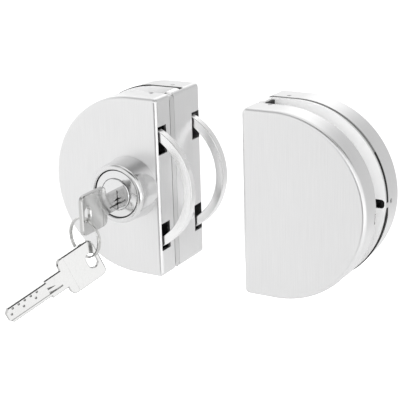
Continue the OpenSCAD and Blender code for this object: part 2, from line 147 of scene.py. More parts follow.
def combine(obj, parts, operation="DIFFERENCE"):
    # forms cut or added together in one call don't overlap
    other = makePiece("tool", *joined(parts))
    mod = obj.modifiers.new("combine", "BOOLEAN")
    mod.operation, mod.solver, mod.object = operation, "EXACT", other
    bakeModifiers(obj)
    bpy.data.objects.remove(other)
    return obj


def softenEdges(obj, width, segments=2, angle=38):
    bevel = obj.modifiers.new("edges", "BEVEL")
    bevel.width, bevel.segments = width * mm, segments
    bevel.limit_method, bevel.angle_limit = "ANGLE", rad(angle)
    bakeModifiers(obj)
    smoothFaces(obj)


def smoothFaces(obj, angle=42):
    for face in obj.data.polygons:
        face.use_smooth = True
    obj.data.set_sharp_from_angle(angle=rad(angle))
    normals = obj.modifiers.new("normals", "WEIGHTED_NORMAL")
    normals.keep_sharp, normals.weight = True, 60


def toKeeper(obj):
    # the keeper's side is the lock's, mirrored across the gap
    for v in obj.data.vertices:
        v.co.x = lockCase["gap"] * mm - v.co.x
    cleanMesh(obj)


def moveMesh(obj, matrix):
    # the matrix is in millimetres
    scale = Matrix.Scale(mm, 4)
    obj.data.transform(scale @ matrix @ scale.inverted())
    obj.data.update()


# Shader groups
grain = {"detail": 4.0, "cloudDetail": 2.0, "cloudRough": 0.45}
scuffs = {"turns": (0.6, -0.9), "tilt": 0.2, "long": 0.06, "detail": 1.0, "above": 0.66, "hard": 9.0}


def newGroup(name, inputs, outputs):
    group = bpy.data.node_groups.new(name, "ShaderNodeTree")
    for label, value in inputs.items():
        socket = group.interface.new_socket(label, in_out="INPUT", socket_type="NodeSocketFloat")
        socket.default_value = value
    for label in outputs:
        group.interface.new_socket(label, in_out="OUTPUT", socket_type="NodeSocketFloat")
    return group, group.nodes.new("NodeGroupInput"), group.nodes.new("NodeGroupOutput")


def setInputs(tree, node, inputs):
    # each input takes another node's output, a number, a vector or a colour
    for label, value in inputs.items():
        socket = node.inputs[label]
        if hasattr(value, "links"):
            tree.links.new(value, socket)
        else:
            socket.default_value = (*value, 1) if socket.type == "RGBA" else value


def newNode(tree, kind, inputs, **settings):
    node = tree.nodes.new(kind)
    for name, value in settings.items():
        setattr(node, name, value)
    setInputs(tree, node, inputs)
    return node


def mathNode(tree, operation, first, second, clamp=False):
    node = newNode(tree, "ShaderNodeMath", {0: first, 1: second}, operation=operation, use_clamp=clamp)
    return node.outputs[0]


def makeBrushedGrain():
    # fine streaks along Z, and slow clouds where the polishing varies
    group, given, out = newGroup("brushedGrain", {"Across": 2600.0, "Along": 45.0, "Cloud": 30.0},
                                 ["Streak", "Clouds"])
    sizes = given.outputs
    place = newNode(group, "ShaderNodeTexCoord", {}).outputs["Object"]
    stretch = newNode(group, "ShaderNodeCombineXYZ", {
        "X": sizes["Across"], "Y": sizes["Across"], "Z": sizes["Along"]})
    mapping = newNode(group, "ShaderNodeMapping", {"Vector": place, "Scale": stretch.outputs[0]})
    streak = newNode(group, "ShaderNodeTexNoise", {
        "Vector": mapping.outputs[0], "Scale": 1.0, "Detail": grain["detail"]})
    cloud = newNode(group, "ShaderNodeTexNoise", {
        "Vector": place, "Scale": sizes["Cloud"], "Detail": grain["cloudDetail"],
        "Roughness": grain["cloudRough"]})
    setInputs(group, out, {"Streak": streak.outputs["Fac"], "Clouds": cloud.outputs["Fac"]})
    return group


def makeHandling():
    # small scuffs and prints of use: short scratches in two directions
    group, given, out = newGroup("handling", {"Size": 900.0, "Amount": 0.5}, ["Scuffs"])
    place = newNode(group, "ShaderNodeTexCoord", {}).outputs["Object"]
    masks = []
    for turn in scuffs["turns"]:
        mapping = newNode(group, "ShaderNodeMapping", {
            "Vector": place, "Rotation": (scuffs["tilt"], turn, turn), "Scale": (1.0, 1.0, scuffs["long"])})
        noise = newNode(group, "ShaderNodeTexNoise", {
            "Vector": mapping.outputs[0], "Scale": given.outputs["Size"], "Detail": scuffs["detail"]})
        peaks = mathNode(group, "SUBTRACT", noise.outputs["Fac"], scuffs["above"])
        masks.append(mathNode(group, "MULTIPLY", peaks, scuffs["hard"], True))
    both = mathNode(group, "MAXIMUM", *masks)
    setInputs(group, out, {"Scuffs": mathNode(group, "MULTIPLY", both, given.outputs["Amount"], True)})
    return group


grainGroup = makeBrushedGrain()
handlingGroup = makeHandling()


def mixColours(tree, mask, first, second):
    return newNode(tree, "ShaderNodeMix", {0: mask, 6: first, 7: second}, data_type="RGBA").outputs[2]


def scaled(tree, value, low, high):
    # a 0 to 1 value spread between two numbers
    node = newNode(tree, "ShaderNodeMapRange", {"Value": value, "To Min": low, "To Max": high})
    return node.outputs["Result"]


def platedZones(tree, shader, plate, colour, roughness):
    # along Y a plate has a bright edge and a matt face against the glass; deeper in the case it is painted
    # nearly black, a painted shade
    coords = newNode(tree, "ShaderNodeTexCoord", {})
    split = newNode(tree, "ShaderNodeSeparateXYZ", {0: coords.outputs["Object"]})
    depth = mathNode(tree, "ABSOLUTE", split.outputs["Y"], 0)
    plateOnly = mathNode(tree, "LESS_THAN", depth, plate["end"] * mm)
    glassSide = mathNode(tree, "LESS_THAN", depth, plate["glassFace"] * mm)
    colour = mixColours(tree, plateOnly, plate["core"], colour)
    colour = mixColours(tree, glassSide, colour, plate["matt"])
    rougher = mathNode(tree, "MAXIMUM", mathNode(tree, "SUBTRACT", 1.0, plateOnly), glassSide)
    roughness = mathNode(tree, "MAXIMUM", roughness, mathNode(tree, "MULTIPLY", rougher, plate["rough"]))
    setInputs(tree, shader, {"Metallic": mathNode(tree, "SUBTRACT", 1.0, glassSide)})
    return colour, roughness


finishes = {}
blendShares = {"streak": 0.65, "clouds": 0.35, "scuffRough": 0.12}
reliefDeep = {"metal": 0.00004, "rubber": 0.00005}


def newFinish(name, across, along, cloud):
    # a material with its shader and the shared grain
    finishes[name] = bpy.data.materials.new(name)
    finishes[name].use_nodes = True
    tree = finishes[name].node_tree
    sizes = {"Across": across, "Along": along, "Cloud": cloud}
    grown = newNode(tree, "ShaderNodeGroup", sizes, node_tree=grainGroup).outputs
    return tree, tree.nodes["Principled BSDF"], grown["Streak"], grown["Clouds"]


def addRelief(tree, shader, height, strength, deep):
    relief = newNode(tree, "ShaderNodeBump", {"Strength": strength, "Distance": deep, "Height": height})
    setInputs(tree, shader, {"Normal": relief.outputs[0]})


def metalFinish(name, dark, light, rough, across=2600.0, along=45.0, cloud=30.0, bump=0.05, handled=0.3,
                aniso=0.0, plate=None):
    tree, shader, streak, clouds = newFinish(name, across, along, cloud)
    marks = newNode(tree, "ShaderNodeGroup", {"Amount": handled}, node_tree=handlingGroup)
    blend = mathNode(tree, "ADD", mathNode(tree, "MULTIPLY", streak, blendShares["streak"]),
                     mathNode(tree, "MULTIPLY", clouds, blendShares["clouds"]))
    colour = mixColours(tree, blend, dark, light)
    scuffed = mathNode(tree, "MULTIPLY", marks.outputs["Scuffs"], blendShares["scuffRough"])
    roughness = mathNode(tree, "ADD", scaled(tree, clouds, *rough), scuffed)
    setInputs(tree, shader, {"Metallic": 1.0, "Anisotropic": aniso})
    if plate:
        colour, roughness = platedZones(tree, shader, plate, colour, roughness)
    setInputs(tree, shader, {"Base Color": colour, "Roughness": roughness})
    addRelief(tree, shader, streak, bump, reliefDeep["metal"])


def softFinish(name, dark, light, rough, grainSize=1800.0, cloud=60.0, bump=0.25, gloss=0.5):
    # rubber and plastic: fine even grain with a slow change of tone
    tree, shader, streak, clouds = newFinish(name, grainSize, grainSize, cloud)
    setInputs(tree, shader, {
        "Base Color": mixColours(tree, clouds, dark, light), "Roughness": scaled(tree, streak, *rough),
        "Specular IOR Level": gloss})
    addRelief(tree, shader, streak, bump, reliefDeep["rubber"])


# Finishes: the darker and the lighter tone, then the range of roughness. The plates beside the glass have
# zones, measured along Y from the middle of the glass.
# the plates' parts deep inside the case are painted nearly black: painted shade
plateZones = {"glassFace": 4.53, "core": (0.05, 0.05, 0.055), "matt": (0.86, 0.86, 0.86), "rough": 0.7}
metalFinish("satinSteel", (0.76, 0.76, 0.763), (0.93, 0.93, 0.93), (0.28, 0.36), cloud=35.0, aniso=0.3)
metalFinish("frontPlate", (0.68, 0.68, 0.68), (0.78, 0.78, 0.78), (0.26, 0.34), along=2600.0,
            plate={"end": 9.0, **plateZones})
metalFinish("rearPlate", (0.76, 0.76, 0.76), (0.86, 0.86, 0.86), (0.26, 0.34), along=2600.0,
            plate={"end": 5.95, **plateZones})
metalFinish("innerSteel", (0.30, 0.30, 0.31), (0.42, 0.42, 0.43), (0.42, 0.55), across=900.0, along=900.0)
metalFinish("guardSteel", (0.74, 0.74, 0.745), (0.84, 0.84, 0.84), (0.13, 0.19), along=400.0)
metalFinish("cylinderChrome", (0.78, 0.78, 0.785), (0.86, 0.86, 0.86), (0.10, 0.16), along=800.0, bump=0.02)
metalFinish("boltSteel", (0.92, 0.92, 0.92), (0.97, 0.97, 0.97), (0.20, 0.28), along=700.0)
metalFinish("keyMetal", (0.54, 0.54, 0.535), (0.66, 0.66, 0.655), (0.14, 0.2), along=900.0, handled=0.8)
# darker copies of the key's metal: painted shade in the notches and the dips
metalFinish("keyCut", (0.22, 0.22, 0.215), (0.34, 0.34, 0.33), (0.35, 0.5), along=900.0, handled=0.8)
metalFinish("keyDip", (0.42, 0.42, 0.415), (0.52, 0.52, 0.515), (0.35, 0.5), along=900.0, handled=0.8)
metalFinish("ringWire", (0.55, 0.55, 0.54), (0.72, 0.72, 0.71), (0.14, 0.22), along=900.0)
metalFinish("pinBrass", (0.52, 0.38, 0.16), (0.66, 0.50, 0.24), (0.28, 0.4), along=2000.0)
softFinish("blackRubber", (0.008, 0.008, 0.008), (0.018, 0.018, 0.018), (0.5, 0.68))
# a near-black finish: painted shade on the sunk faces of the bracket round the notch
softFinish("markLine", (0.05, 0.05, 0.05), (0.09, 0.09, 0.09), (0.5, 0.65))
softFinish("gasketRubber", (0.006, 0.006, 0.006), (0.014, 0.014, 0.014), (0.4, 0.55), gloss=0.12)
# a paler copy of the gasket's black rubber: painted sheen along the keeper's top
softFinish("rubberSheen", (0.10, 0.10, 0.10), (0.14, 0.14, 0.14), (0.4, 0.55), gloss=1.0)
softFinish("glassPad", (0.74, 0.745, 0.745), (0.82, 0.825, 0.825), (0.55, 0.75))
print("finishes:", len(finishes))


def wear(obj, *names):
    obj.data.materials.clear()
    for name in names:
        obj.data.materials.append(finishes[name])


# Geometry trees
def newTree(name, inputs):
    tree = bpy.data.node_groups.new(name, "GeometryNodeTree")
    tree.interface.new_socket("Geometry", in_out="INPUT", socket_type="NodeSocketGeometry")
    for label, value in inputs.items():
        kind = "NodeSocketInt" if isinstance(value, int) else "NodeSocketFloat"
        tree.interface.new_socket(label, in_out="INPUT", socket_type=kind).default_value = value
    tree.interface.new_socket("Finish", in_out="INPUT", socket_type="NodeSocketMaterial")
    tree.interface.new_socket("Geometry", in_out="OUTPUT", socket_type="NodeSocketGeometry")
    return tree, tree.nodes.new("NodeGroupInput"), tree.nodes.new("NodeGroupOutput")


def endTree(tree, given, out, geometry):
    realized = newNode(tree, "GeometryNodeRealizeInstances", {"Geometry": geometry})
    painted = newNode(tree, "GeometryNodeSetMaterial", {
        "Geometry": realized.outputs["Geometry"], "Material": given.outputs["Finish"]})
    setInputs(tree, out, {"Geometry": painted.outputs["Geometry"]})


def makeSweepTree():
    # a bar with a rounded rectangular section along the line it is given
    tree, given, out = newTree("sweptBar", {"Across": 5.0 * mm, "Thick": 5.0 * mm, "Edge": 0.5 * mm,
                                            "Edge Steps": 3})
    sizes = given.outputs
    curve = newNode(tree, "GeometryNodeMeshToCurve", {"Mesh": sizes["Geometry"]})
    section = newNode(tree, "GeometryNodeCurvePrimitiveQuadrilateral", {
        "Width": sizes["Across"], "Height": sizes["Thick"]})
    fillet = newNode(tree, "GeometryNodeFilletCurve", {
        "Curve": section.outputs["Curve"], "Radius": sizes["Edge"], "Count": sizes["Edge Steps"]},
        mode="POLY")
    sweep = newNode(tree, "GeometryNodeCurveToMesh", {
        "Curve": curve.outputs["Curve"], "Profile Curve": fillet.outputs["Curve"], "Fill Caps": True})
    endTree(tree, given, out, sweep.outputs["Mesh"])
    return tree


def makeGrubTree():
    # small headless screws with a hexagonal socket, one at each point, along the point's aim
    tree, given, out = newTree("grubScrewSet", {"Radius": 1.25 * mm, "Length": 3.8 * mm, "Socket": 0.8 * mm,
                                                "Socket Depth": 1.4 * mm, "Sides": 32})
    sizes = given.outputs
    shank = newNode(tree, "GeometryNodeMeshCylinder", {
        "Vertices": sizes["Sides"], "Radius": sizes["Radius"], "Depth": sizes["Length"]})
    socket = newNode(tree, "GeometryNodeMeshCylinder", {
        "Vertices": 6, "Radius": sizes["Socket"],
        "Depth": mathNode(tree, "MULTIPLY", sizes["Socket Depth"], 2.0)})
    offset = newNode(tree, "ShaderNodeCombineXYZ", {"Z": mathNode(tree, "MULTIPLY", sizes["Length"], 0.5)})
    placed = newNode(tree, "GeometryNodeTransform", {
        "Geometry": socket.outputs["Mesh"], "Translation": offset.outputs[0]})
    cut = newNode(tree, "GeometryNodeMeshBoolean", {
        "Mesh 1": shank.outputs["Mesh"], "Mesh 2": placed.outputs["Geometry"]}, operation="DIFFERENCE")
    aim = newNode(tree, "GeometryNodeInputNamedAttribute", {"Name": "aim"}, data_type="FLOAT_VECTOR")
    align = newNode(tree, "FunctionNodeAlignRotationToVector", {"Vector": aim.outputs["Attribute"]}, axis="Z")
    spread = newNode(tree, "GeometryNodeInstanceOnPoints", {
        "Points": sizes["Geometry"], "Instance": cut.outputs["Mesh"], "Rotation": align.outputs["Rotation"]})
    endTree(tree, given, out, spread.outputs["Instances"])
    return tree


sweepTree = makeSweepTree()
grubTree = makeGrubTree()


def growFrom(name, points, tree, values, finish, aims=None):
    # a tree grown along a line of points, or on loose points that each have an aim
    mesh = bpy.data.meshes.new(name)
    lines = [] if aims else [(i, i + 1) for i in range(len(points) - 1)]
    mesh.from_pydata([Vector(p) * mm for p in points], lines, [])
    if aims:
        attribute = mesh.attributes.new("aim", "FLOAT_VECTOR", "POINT")
        attribute.data.foreach_set("vector", [c for a in aims for c in a])
    obj = newObject(name, mesh)
    mod = obj.modifiers.new(tree.name, "NODES")
    mod.node_group = tree
    for item in tree.interface.items_tree:
        if item.in_out == "INPUT" and item.name in values:
            mod[item.identifier] = values[item.name]
        if item.in_out == "INPUT" and item.name == "Finish":
            mod[item.identifier] = finishes[finish]
    bakeModifiers(obj)
    for left in [a for a in obj.data.attributes if a.name == "aim"]:
        obj.data.attributes.remove(left)
    return obj


# The D-shaped covers
cover = {
    "edge": 2.2, "edgeSteps": 10, "wall": 1.5, "face": 1.2, "innerEdge": 0.8, "softEdge": 0.18,
    "slotLow": 20.0, "slotHigh": 36.0, "slotWide": 8.6, "slotDeep": 2.6, "holeRadius": 13.35, "holeDeep": 3.0,
    "seam": 0.25, "frontSeam": 0.4, "flangeLap": 2.0, "arcSteps": 120, "cornerSteps": 6, "leastCorner": 0.1,
    "grubIn": 10.6, "grubHole": 1.35, "grubHoleDeep": 2.6, "frontGrubY": -10.7, "rearGrubY": 12.7,
    "tab": {"low": (-69.94, 5.95, -2.3), "high": (-69.0, 9.5, 0.4)},
    "notch": {"low": (-71.0, -9.9, -5.2), "high": (-67.5, -7.9, -1.0)},
    "mark": {"wide": 0.4, "end": 1.0, "deep": 1.0, "long": 1.9, "clear": 0.1, "short": 0.5},
    # front cover faces sunk inside this zone get painted shade
    "markPaint": {"low": (-71.0, -11.0, -6.2), "high": (-67.0, -9.0, 0.0), "sunk": 0.12},
}


def dLoop(inset, y, flatInset=None):
    # the D outline, from the flat side's lower corner round to the round side's lower end
    flat = -(inset if flatInset is None else flatInset)
    r = halfHeight - inset
    corner = max(lockCase["corner"] - inset, cover["leastCorner"])
    loop = []
    for side, first in ((-1, -90), (1, 0)):
        for i in range(cover["cornerSteps"] + 1):
            a = rad(first + 90 * i / cover["cornerSteps"])
            loop.append((flat - corner + corner * math.cos(a), y, side * (r - corner) + corner * math.sin(a)))
    for i in range(cover["arcSteps"] + 1):
        a = rad(90 + 180 * i / cover["arcSteps"])
        loop.append((roundX + r * math.cos(a), y, r * math.sin(a)))
    return loop


def slotCutters(y):
    # the two slots in the flat side that the ring bolt swings through
    deep, wide, high = cover["slotDeep"], cover["slotWide"], cover["slotHigh"] - cover["slotLow"]
    return [block((-deep, y, z), (past, y + wide, z + high)) for z in (cover["slotLow"], -cover["slotHigh"])]


def grubPlaces(rear):
    # point on the surface and the direction outwards
    y = cover["rearGrubY"] if rear else cover["frontGrubY"]
    places = [((-cover["grubIn"], y, s * halfHeight), (0, 0, s)) for s in (1, -1)]
    if rear:
        places.append(((-lockCase["width"], y, 0), (-1, 0, 0)))
    return places


def grubCutters(rear):
    places = [(Vector(p), Vector(d)) for p, d in grubPlaces(rear)]
    return [rod(p + past * d, p - cover["grubHoleDeep"] * d, cover["grubHole"]) for p, d in places]


def coverShell(name, faceY, rimY):
    # a pressed D: rounded edge, straight side wall, open towards the glass
    toward = 1 if rimY > faceY else -1
    depth, e, w = abs(rimY - faceY), cover["edge"], cover["wall"]
    profile = []
    for i in range(cover["edgeSteps"] + 1):
        a = rad(90 * i / cover["edgeSteps"])
        profile.append((e * (1 - math.sin(a)), e * (1 - math.cos(a))))
    inner = cover["innerEdge"]
    profile += [(0, depth), (w, depth), (w, cover["face"] + inner), (w + inner, cover["face"])]
    return makePiece(name, *loft([dLoop(inset, faceY + toward * t) for inset, t in profile]))


def markOutline():
    # the sunk bracket round the release notch, in Y and Z
    mark, low, high = cover["mark"], cover["notch"]["low"][2], cover["notch"]["high"][2]
    y0, y1 = lockCase["strip"] - mark["long"], lockCase["strip"] - cover["frontSeam"]
    wide, end, clear, short = mark["wide"], mark["end"], mark["clear"], mark["short"]
    return [(y0, high + end), (y1, high + end), (y1, high + clear), (y0 + wide, high + clear),
            (y0 + wide, low - clear), (y1 - short, low - clear), (y1 - short, low - end), (y0, low - end)]


def frontCover(name, withHole):
    y = lockCase["frontFace"]
    obj = coverShell(name, y, lockCase["strip"] - cover["frontSeam"])
    cutters = slotCutters(y + cover["face"]) + grubCutters(False)
    cutters.append(block(cover["notch"]["low"], cover["notch"]["high"]))
    if withHole:
        hole = [(cover["holeRadius"], y - 2 * past), (cover["holeRadius"], y + cover["holeDeep"])]
        cutters.append(turnedForm(hole, closed=False))
    combine(obj, cutters)
    side = -lockCase["width"]
    ends = [[(x, y, z) for y, z in markOutline()] for x in (side - past, side + cover["mark"]["deep"])]
    return combine(obj, [loft(ends)])


def rearCover(name):
    obj = coverShell(name, lockCase["rearFace"], lockCase["rim"])
    # the flange over the bridge, level with the flat side
    w = cover["wall"]
    outline = [(x, z) for x, _, z in dLoop(0, 0) if x > -w]
    lift = math.sqrt(lockCase["corner"] ** 2 - (lockCase["corner"] - w) ** 2)
    top = halfHeight - lockCase["corner"] + lift
    outline = [(-w, -top)] + outline + [(-w, top)]
    span = (lockCase["stripEnd"] + cover["seam"], lockCase["rim"] + cover["flangeLap"])
    combine(obj, [loft([[(x, y, z) for x, z in outline] for y in span])], "UNION")
    combine(obj, [block(cover["tab"]["low"], cover["tab"]["high"])], "UNION")
    slotY = lockCase["rearFace"] - cover["face"] - cover["slotWide"]
    return combine(obj, slotCutters(slotY) + grubCutters(True))


def inShadedMark(place):
    # whether a place on the front cover lies sunk in the bracket round the notch, where its faces get painted
    # shade
    paint = cover["markPaint"]
    inside = all(low < v < high for low, v, high in zip(paint["low"], place, paint["high"]))
    return inside and math.hypot(place.x - roundX, place.z) < halfHeight - paint["sunk"]


def makeCovers(side):
    front = frontCover(side + "_front_cover_shell", withHole=side == "lock")
    rear = rearCover(side + "_rear_cover_shell")
    for part, obj in (("front_cover", front), ("rear_cover", rear)):
        if side == "keeper":
            toKeeper(obj)
        softenEdges(obj, cover["softEdge"])
        wear(obj, "satinSteel", "markLine")
        for face in obj.data.polygons:
            place = face.center / mm
            if side == "keeper":
                place.x = lockCase["gap"] - place.x
            # faces sunk in the bracket round the notch get painted shade
            face.material_index = int(part == "front_cover" and inShadedMark(place))
        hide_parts(side + "_" + part)
        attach(obj, "case")


for side in ("lock", "keeper"):
    makeCovers(side)
print("covers done")

# The black gaskets between the lip and the rear cover
gasket = {
    "inset": 0.02, "wallPlay": 0.1, "deep": 3.6, "shoulder": 0.08, "tabPlay": (0.2, 1.0, 0.15),
    "bulge": 0.5, "bulgeFade": 46, "bulgeEnd": 58,  # keeper, degrees below the round side's middle
    "sink": 0.4, "sinkFrom": 31, "sinkFull": 46,  # keeper, degrees above it
    "rise": 0.4, "riseFrom": 30, "riseFull": 44,  # lock, millimetres above the axis
}


def belowMiddle(x, z):
    # how far round from the round side's middle a point lies, in degrees, less than 0 above it
    return math.degrees(math.atan2(-z, roundX - x))


def fadeBetween(value, start, end):
    return min((value - start) / (end - start), 1)


def squeezed(loop):
    # the keeper's rubber stands out along the lower round side, but not past the case's outermost
    # line, and lies deeper along the top
    points = []
    for x, y, z in loop:
        r, angle, out = math.hypot(x - roundX, z), belowMiddle(x, z), 0
        if 0 < angle < gasket["bulgeEnd"]:
            bulge = gasket["bulge"] * fadeBetween(angle, gasket["bulgeEnd"], gasket["bulgeFade"])
            out = min(bulge, r / math.cos(rad(angle)) - r)
        elif angle < -gasket["sinkFrom"]:
            out = -gasket["sink"] * fadeBetween(-angle, gasket["sinkFrom"], gasket["sinkFull"])
        points.append((roundX + (x - roundX) * (r + out) / r, y, z * (r + out) / r))
    return points


def raised(loop):
    # the lock's rubber stands out along the top, up to the height of the case
    points, top = [], halfHeight - gasket["inset"]
    for x, y, z in loop:
        out = min(gasket["rise"] * fadeBetween(z, gasket["riseFrom"], gasket["riseFull"]), top - z)
        points.append((x, y, z + max(out, 0)))
    return points


def makeGasket(side):
    w, d, inset = cover["wall"] + gasket["wallPlay"], gasket["shoulder"], gasket["inset"]
    y0, y1 = lockCase["lipEnd"], lockCase["rim"]
    outer = [(inset + d, y0), (inset, y0 + d), (inset, y1 - d), (inset + d, y1)]
    inner = [(gasket["deep"], y1), (gasket["deep"], y0)]
    reshape = squeezed if side == "keeper" else raised
    loops = [reshape(dLoop(i, y, w + i)) for i, y in outer] + [dLoop(i, y, w + i) for i, y in inner]
    obj = makePiece(side + "_gasket_ring", *loft(loops, closed=True))
    low, high, play = (Vector(v) for v in (cover["tab"]["low"], cover["tab"]["high"], gasket["tabPlay"]))
    combine(obj, [block(low - play, high + play)])
    wear(obj, "gasketRubber", "rubberSheen")  # the keeper's top stretch is painted paler: a painted sheen
    for face in obj.data.polygons:
        x, _, z = face.center / mm
        sheen = side == "keeper" and belowMiddle(x, z) < -gasket["sinkFrom"]
        face.material_index = int(sheen)
    if side == "keeper":
        toKeeper(obj)
    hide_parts(side + "_gasket")
    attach(obj, "case")


for side in ("lock", "keeper"):
    makeGasket(side)
print("gaskets done")

# The grub screws that hold the covers
grub = {"radius": 1.25, "length": 3.8, "sunk": 0.4, "socket": 0.72, "socketDepth": 1.4}


def makeGrubScrews(side):
    spots, aims = [], []
    for place, aim in grubPlaces(False) + grubPlaces(True):
        spots.append(Vector(place) - Vector(aim) * (grub["sunk"] + grub["length"] / 2))
        aims.append(aim)
    if side == "keeper":
        spots = [Vector((lockCase["gap"] - p.x, p.y, p.z)) for p in spots]
        aims = [(-a[0], a[1], a[2]) for a in aims]
    sizes = {"Radius": grub["radius"] * mm, "Length": grub["length"] * mm, "Socket": grub["socket"] * mm,
             "Socket Depth": grub["socketDepth"] * mm}
    obj = growFrom(side + "_grub_screw_set", spots, grubTree, sizes, "innerSteel", aims)
    cleanMesh(obj)
    smoothFaces(obj, angle=30)
    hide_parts(side + "_grub_screws")
    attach(obj, "case")


for side in ("lock", "keeper"):
    makeGrubScrews(side)
print("grub screws done")

# Guard around the cylinder
guard = {
    "mouth": 13.9, "bore": 13.35, "boreLong": 2.0, "frontRadius": 17.0, "baseRadius": 18.0, "frontY": -38.8,
    "lip": 0.9, "steps": 14, "foot": 0.5, "footIn": 0.12, "footFade": 0.6, "softEdge": 0.06,
}


def makeGuard():
    y0, y1 = guard["frontY"], lockCase["frontFace"]
    bore, mouth, lip = guard["bore"], guard["mouth"], guard["lip"]
    r = guard["frontRadius"] - mouth - lip
    profile = [(bore, y1), (bore, y1 - guard["boreLong"]), (mouth, y1 - guard["boreLong"])]
    for i in range(guard["steps"]):
        a = rad(90 * i / guard["steps"])
        profile.append((mouth + lip - lip * math.cos(a), y0 + lip - lip * math.sin(a)))
    for i in range(guard["steps"] + 1):
        a = rad(90 * i / guard["steps"])
        profile.append((guard["frontRadius"] - r + r * math.sin(a), y0 + r - r * math.cos(a)))
    base, foot = guard["baseRadius"], guard["foot"]
    profile += [(base - guard["footIn"], y1 - foot - guard["footFade"]), (base, y1 - foot), (base, y1)]
    obj = makePiece("cylinder_guard_cup", *turnedForm(profile, steps=160))
    softenEdges(obj, guard["softEdge"], angle=50)
    wear(obj, "guardSteel")
    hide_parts("cylinder_guard")
    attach(obj, "case")


makeGuard()
print("guard done")

# Cylinder: body with its stepped face, and the plug that the key turns
cylinder = {
    "radius": 13.3, "frontY": -38.5, "rearY": -13.7, "slope": 0.65, "edge": 0.15, "gap": 0.3, "play": 0.05,
    "flange": 15.7, "flangeFrom": 1.25, "flangeTo": 2.2, "headSeat": 2.2, "softEdge": 0.05,
    "plugHead": 9.0, "headLong": 2.6, "headSlant": 0.4, "plug": 8.2, "plugY": -39.1, "plugRear": -11.9,
    "keyDrop": 3.0, "funnel": 2.2, "funnelDeep": 0.5, "tongueLap": 0.5,
    # half the width, the length along Y and half the height
    "keyway": (1.35, 26.4, 4.45), "keySeam": (1.65, 0.6, 5.3), "tongue": (1.2, 2.4, 3.5),
}


def makeBarrel():
    c, face = cylinder, lockCase["frontFace"]
    y0, slope, edge = c["frontY"], c["slope"], c["edge"]
    seat, bore = c["plugHead"] + c["gap"], c["plug"] + c["play"]
    profile = [(c["radius"], y0 + slope + edge), (c["radius"], face + c["flangeFrom"]),
               (c["flange"], face + c["flangeFrom"]), (c["flange"], face + c["flangeTo"]),
               (c["radius"], face + c["flangeTo"]), (c["radius"], c["rearY"]), (bore, c["rearY"]),
               (bore, y0 + c["headSeat"]), (seat, y0 + c["headSeat"]), (seat, y0),
               (c["radius"] - edge, y0 + slope)]
    body = makePiece("cylinder_barrel", *turnedForm(profile, steps=144))
    softenEdges(body, c["softEdge"], angle=40)
    wear(body, "cylinderChrome")
    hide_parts("cylinder_body")
    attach(body, "case")


def makePlug():
    c = cylinder
    y0, head, slant = c["plugY"], c["plugHead"], c["headSlant"]
    profile = [(head - slant, y0), (head, y0 + slant), (head, y0 + c["headLong"]),
               (c["plug"], y0 + c["headLong"]), (c["plug"], c["plugRear"])]
    plug = makePiece("cylinder_plug_front", *turnedForm(profile, closed=False))
    x, z, f = lockCase["axis"], -c["keyDrop"], c["funnel"]
    corners = ((f, 0), (0, f), (-f, 0), (0, -f))
    funnel = [[(x + dx, y, z + dz) for dx, dz in corners] for y in (y0 - past, y0 + c["funnelDeep"])]
    keyway, seam = (block((x - across, y0 - past, z - high), (x + across, y0 + long, z + high))
                    for across, long, high in (c["keyway"], c["keySeam"]))
    combine(plug, [keyway])
    combine(plug, [loft(funnel)])
    combine(plug, [seam])
    across, long, high = c["tongue"]
    rear = c["plugRear"]
    tongue = block((x - across, rear - c["tongueLap"], -high), (x + across, rear + long, high))
    combine(plug, [tongue], "UNION")
    softenEdges(plug, c["softEdge"], segments=1, angle=40)
    wear(plug, "cylinderChrome")
    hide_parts("cylinder_plug")
    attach(plug, "rotor")


makeBarrel()
makePlug()
print("cylinder done")

# Ring bolts: a C swept about the cylinder's axis, with its arm, cup or hub
bolt = {
    "inner": 33.0, "outer": 38.2, "wide": 5.0, "edge": 0.55, "low": 72.0, "high": 75.0, "steps": 150,
    "frontY": -21.0, "rearY": 16.0, "armWide": 8.0, "armBack": 4.0, "armLap": 1.0, "softEdge": 0.15,
    "spindleHole": 5.6, "journal": 8.0, "journalLap": 0.2, "frontArm": 14.7, "rearArm": 8.0,
    "cupInner": 13.7, "cupOuter": 17.0, "cupFloor": 1.8, "cupEnd": -9.7, "frontEnd": -5.0,
    "rearHub": 12.0, "rearStart": 5.9,
}


def sleeve(inner, outer, y0, y1):
    return [(inner, y0), (outer, y0), (outer, y1), (inner, y1)]


def frontHubs():
    # a cup round the rear end of the cylinder, and the journal behind it
    b = bolt
    hole, end, floor = b["spindleHole"], b["cupEnd"], b["cupEnd"] - b["cupFloor"]
    cup = [(b["cupInner"], b["frontY"]), (b["cupOuter"], b["frontY"]), (b["cupOuter"], end), (hole, end),
           (hole, floor), (b["cupInner"], floor)]
    return [cup, sleeve(hole, b["journal"], end - b["journalLap"], b["frontEnd"])]


def rearHubs():
    b = bolt
    hole, y0 = b["spindleHole"], b["rearY"]
    return [sleeve(hole, b["rearHub"], y0, y0 + b["wide"]),
            sleeve(hole, b["journal"], b["rearStart"], y0 + b["journalLap"])]


